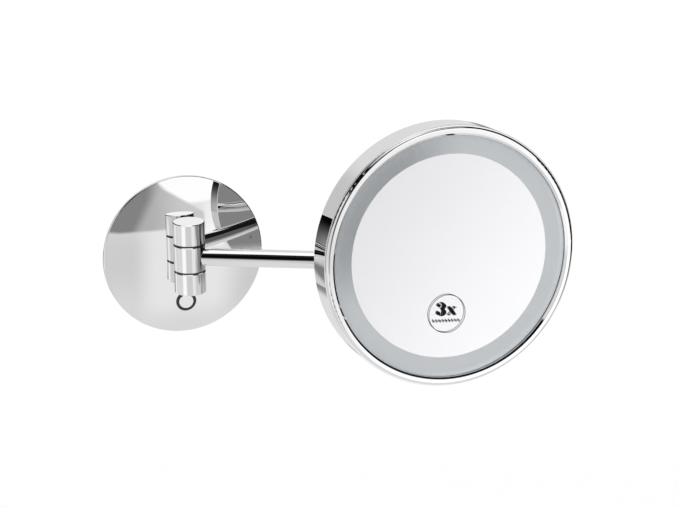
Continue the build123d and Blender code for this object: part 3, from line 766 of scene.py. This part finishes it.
class SHAVINGMIRROR_OT_stage(Operator):
    """Sets up the camera, the floor, the lamps and the surround"""

    bl_idname = "shaving_mirror.stage"
    bl_label = "Stage and camera"

    def execute(self, context):
        stage = context.scene.mirror_stage
        context.scene.view_settings.view_transform = "Standard"
        self.camera(context, stage)
        self.floor(context, stage)
        for lamp in LAMPS:
            self.lamp(context, stage, lamp)
        self.surround(context, stage)
        return {"FINISHED"}

    def camera(self, context, stage):
        """Camera that looks at the target from its azimuth and elevation."""
        data = bpy.data.cameras.new("camera")
        data.sensor_width = SENSOR_WIDTH
        data.lens = stage.focal_pixels * SENSOR_WIDTH / IMAGE_WIDTH
        camera = bpy.data.objects.new("camera", data)
        away = Vector((
            sin(stage.azimuth) * cos(stage.elevation),
            -cos(stage.azimuth) * cos(stage.elevation),
            sin(stage.elevation),
        ))
        roll = Quaternion((0, 0, 1), -stage.roll)
        camera.rotation_mode = "QUATERNION"
        camera.rotation_quaternion = (-away).to_track_quat("-Z", "Y") @ roll
        camera.location = Vector(stage.target) + away * stage.distance
        context.scene.collection.objects.link(camera)
        context.scene.camera = camera

    def floor(self, context, stage):
        """Round floor well below the mirror."""
        shape = bmesh.new()
        middle = Matrix.Translation((stage.target[0], 0, stage.floor_height))
        bmesh.ops.create_circle(
            shape, cap_ends=True, segments=FLOOR_SEGMENTS, radius=stage.floor_radius, matrix=middle,
        )
        mesh = bpy.data.meshes.new("floor")
        shape.to_mesh(mesh)
        shape.free()
        mesh.materials.append(self.floor_paint(stage))
        floor = bpy.data.objects.new("floor", mesh)
        context.scene.collection.objects.link(floor)

    def floor_paint(self, stage):
        """White floor that fades out at its edge and keeps a soft shadow."""
        material, shader = new_material("floor_paint")
        matt = shader.node("ShaderNodeBsdfDiffuse", None, {"Color": FLOOR_PAINT})
        rays = shader.node("ShaderNodeLightPath").outputs
        seen = Value(shader, rays["Is Camera Ray"]) * (1 - FLOOR_GLOW) + FLOOR_GLOW
        glow = shader.node("ShaderNodeEmission", None, {"Color": WHITE, "Strength": seen})
        paint = shader.node("ShaderNodeMixShader", None, {
            0: FLOOR_GLOW_SHARE, 1: matt.outputs[0], 2: glow.outputs[0],
        })
        middle = shader.node("ShaderNodeVectorMath", {"operation": "DISTANCE"}, {
            0: shader.node("ShaderNodeTexCoord").outputs["Object"],
            1: (stage.target[0], 0.0, stage.floor_height),
        })
        reach = Value(shader, middle.outputs["Value"])
        fade = shader.rise(reach, stage.floor_radius * FLOOR_FADE, stage.floor_radius)
        clear = shader.node("ShaderNodeBsdfTransparent")
        edge = shader.node("ShaderNodeMixShader", None, {0: fade, 1: paint.outputs[0], 2: clear.outputs[0]})
        shader.node("ShaderNodeOutputMaterial", None, {"Surface": edge.outputs[0]})
        return material

    def lamp(self, context, stage, lamp):
        """Soft square lamp aimed at the object, kept out of the metal's reflections."""
        data = bpy.data.lights.new(lamp.name, "AREA")
        data.size = lamp.size
        data.energy = lamp.power
        light = bpy.data.objects.new(lamp.name, data)
        aim = Vector(stage.target) - Vector(lamp.location)
        light.rotation_mode = "QUATERNION"
        light.rotation_quaternion = aim.to_track_quat("-Z", "Y")
        light.location = lamp.location
        light.visible_glossy = False
        light.visible_transmission = False
        context.scene.collection.objects.link(light)

    def surround(self, context, stage):
        """White behind the object, even light on matt surfaces, and screens for the metal to show."""
        world = bpy.data.worlds.new("surround")
        context.scene.world = world
        shader = Shader(world)
        direction = shader.node("ShaderNodeTexCoord").outputs["Generated"]
        parts = shader.node("ShaderNodeSeparateXYZ", None, {0: direction}).outputs
        to_degrees = degrees(1)
        east = shader.math("ARCTAN2", parts["X"], -Value(shader, parts["Y"])) * to_degrees
        height = shader.math("ARCSINE", parts["Z"]) * to_degrees
        level = stage.surround
        for screen in SCREENS:
            level = self.over(level, self.inside(shader, screen, east, height), screen.level)
        face = self.inside(shader, FACE_LIGHT, east, height)
        level = self.over(level, face, self.face_tone(shader, east, height))
        level = self.over(level, self.back_shade(shader, east, height), BACK_SHADE.level)
        for glow in BACK_GLOWS:
            level = self.over(level, self.inside(shader, glow, east, height), glow.level)
        front = self.front_shade(shader, east, height)
        level = self.over(level, front, self.front_tone(shader, east, height))
        rays = shader.node("ShaderNodeLightPath").outputs
        camera = Value(shader, rays["Is Camera Ray"])
        matt = shader.math("GREATER_THAN", rays["Diffuse Depth"], 0.5)
        key = shader.value("ShaderNodeVectorMath", "Value", {"operation": "DOT_PRODUCT"}, {
            0: direction, 1: stage.key_direction,
        })
        fill = stage.fill + key * stage.fill_slope
        seen = matt * fill + (1 - matt) * level
        strength = camera + (1 - camera) * seen
        light = shader.node("ShaderNodeBackground", None, {"Color": WHITE, "Strength": strength})
        shader.node("ShaderNodeOutputWorld", None, {"Surface": light.outputs[0]})

    def over(self, level, mask, screen_level):
        """A level with a screen laid over it."""
        return level * (1 - mask) + mask * screen_level

    def inside(self, shader, screen, east, height):
        """1 inside a screen, 0 outside, with soft edges."""
        half = screen.soft / 2
        across = shader.rise(east, screen.left - half, screen.left + half)
        across = across * (1 - shader.rise(east, screen.right - half, screen.right + half))
        upright = shader.rise(height, screen.low - half, screen.low + half)
        return across * upright * (1 - shader.rise(height, screen.high - half, screen.high + half))

    def gain(self, shader, place, step):
        """Level that a step adds at a place."""
        return shader.rise(place, step.start, step.end) * step.gain

    def face_tone(self, shader, east, height):
        """Wall that the mirror shows, brighter towards its low right."""
        return FACE_LIGHT.level + self.gain(shader, east - height * FACE_SLANT, FACE_STEP)

    def front_shade(self, shader, east, height):
        """Unlit front left of the room, cut off by a slanting edge on its right."""
        shade = FRONT_SHADE
        left = shader.rise(east, shade.left - FRONT_LEFT_SOFT, shade.left + FRONT_LEFT_SOFT)
        top = 1 - shader.rise(height, shade.high - FRONT_TOP_SOFT, shade.high + FRONT_TOP_SOFT)
        crisp = shader.rise(height, shade.low - SILL_SOFT, shade.low + SILL_SOFT)
        faded = shader.rise(height, shade.low + FRONT_FADE[0], shade.low + FRONT_FADE[1])
        near = shader.rise(east, *FRONT_CRISP)
        beyond = shade.right - east
        edge = shader.math("MAXIMUM", beyond * FRONT_STEEP, beyond * FRONT_GENTLE) - FRONT_KINK_DROP
        under = 1 - shader.rise(height - edge, -shade.soft, shade.soft)
        right = 1 - shader.rise(east, *FRONT_END)
        return left * right * top * under * (crisp * near + faded * (1 - near))

    def front_tone(self, shader, east, height):
        """Black on the left of the unlit front, paler in steps towards its right."""
        slant = east - (height - FRONT_SHADE.low) * FRONT_SLANT
        tone = FRONT_SHADE.level + self.gain(shader, east, FRONT_LEFT_STEP)
        tone = tone + self.gain(shader, slant, FRONT_SLANT_STEP)
        return tone + self.gain(shader, east, FRONT_RIGHT_STEP)

    def back_shade(self, shader, east, height):
        """Unlit back right of the room: its left edge slants, and its sill rises towards the right."""
        shade = BACK_SHADE
        half = shade.soft / 2
        across = shader.rise(east - height * BACK_SLANT, shade.left - half, shade.left + half)
        across = across * (1 - shader.rise(east, shade.right - half, shade.right + half))
        sill = height - shader.math("MAXIMUM", east - BACK_SILL_START, 0.0) * BACK_SILL_RISE
        upright = shader.rise(sill, shade.low - SILL_SOFT, shade.low + SILL_SOFT)
        return across * upright * (1 - shader.rise(height, shade.high - half, shade.high + half))


class SHAVINGMIRROR_PT_panel(Panel):
    """Lists the steps that dress the mirror"""

    bl_idname = "SHAVINGMIRROR_PT_panel"
    bl_label = "Shaving mirror"
    bl_space_type = "VIEW_3D"
    bl_region_type = "UI"
    bl_category = "Shaving mirror"

    def draw(self, context):
        for operator in OPERATORS:
            self.layout.operator(operator.bl_idname)


OPERATORS = (
    SHAVINGMIRROR_OT_chrome,
    SHAVINGMIRROR_OT_fixings,
    SHAVINGMIRROR_OT_plastics,
    SHAVINGMIRROR_OT_face,
    SHAVINGMIRROR_OT_electrics,
    SHAVINGMIRROR_OT_mark,
    SHAVINGMIRROR_OT_stage,
)
CLASSES = (MarkSettings, FinishSettings, StageSettings, *OPERATORS, SHAVINGMIRROR_PT_panel)


def register():
    for cls in CLASSES:
        bpy.utils.register_class(cls)
    bpy.types.Scene.mirror_mark = PointerProperty(type=MarkSettings)
    bpy.types.Scene.mirror_finish = PointerProperty(type=FinishSettings)
    bpy.types.Scene.mirror_stage = PointerProperty(type=StageSettings)


def unregister():
    del bpy.types.Scene.mirror_stage
    del bpy.types.Scene.mirror_finish
    del bpy.types.Scene.mirror_mark
    for cls in reversed(CLASSES):
        bpy.utils.unregister_class(cls)


def main():
    register()
    bpy.ops.shaving_mirror.chrome()
    bpy.ops.shaving_mirror.fixings()
    bpy.ops.shaving_mirror.plastics()
    bpy.ops.shaving_mirror.face()
    bpy.ops.shaving_mirror.electrics()
    bpy.ops.shaving_mirror.mark()
    bpy.ops.shaving_mirror.stage()


if __name__ == "__main__":
    main()
